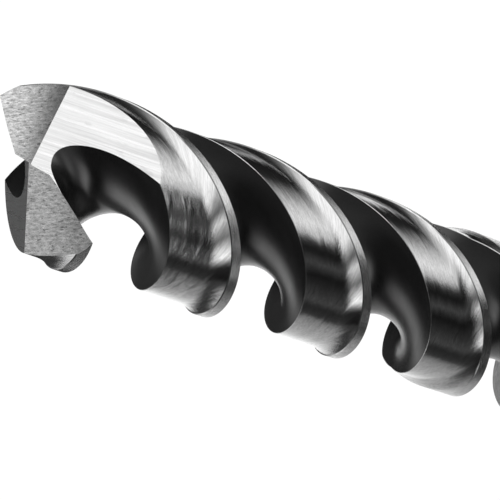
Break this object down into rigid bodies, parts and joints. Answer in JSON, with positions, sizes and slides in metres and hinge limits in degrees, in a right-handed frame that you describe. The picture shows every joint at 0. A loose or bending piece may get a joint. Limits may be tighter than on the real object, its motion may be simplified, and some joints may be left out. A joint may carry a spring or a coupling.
{
  "type": "twist drill bit",
  "caption": "Straight-shank right-hand twist drill with two deep helical flutes, ground lands with narrow margins and a four-facet self-centring point.",
  "frame": {"origin": "centre of the flat end of the shank", "axes": "+Z along the axis from the shank end to the tip; +X towards the outer cutting corner of one lip"},
  "size_m": [0.01, 0.01, 0.133],
  "materials": {
    "tool_steel": "ground bright on the point, lands, margins and shank, with black oxide in the flutes"
  },
  "bodies": {
    "root": {"drill_bit": "tool_steel"}
  },
  "joints": []
}
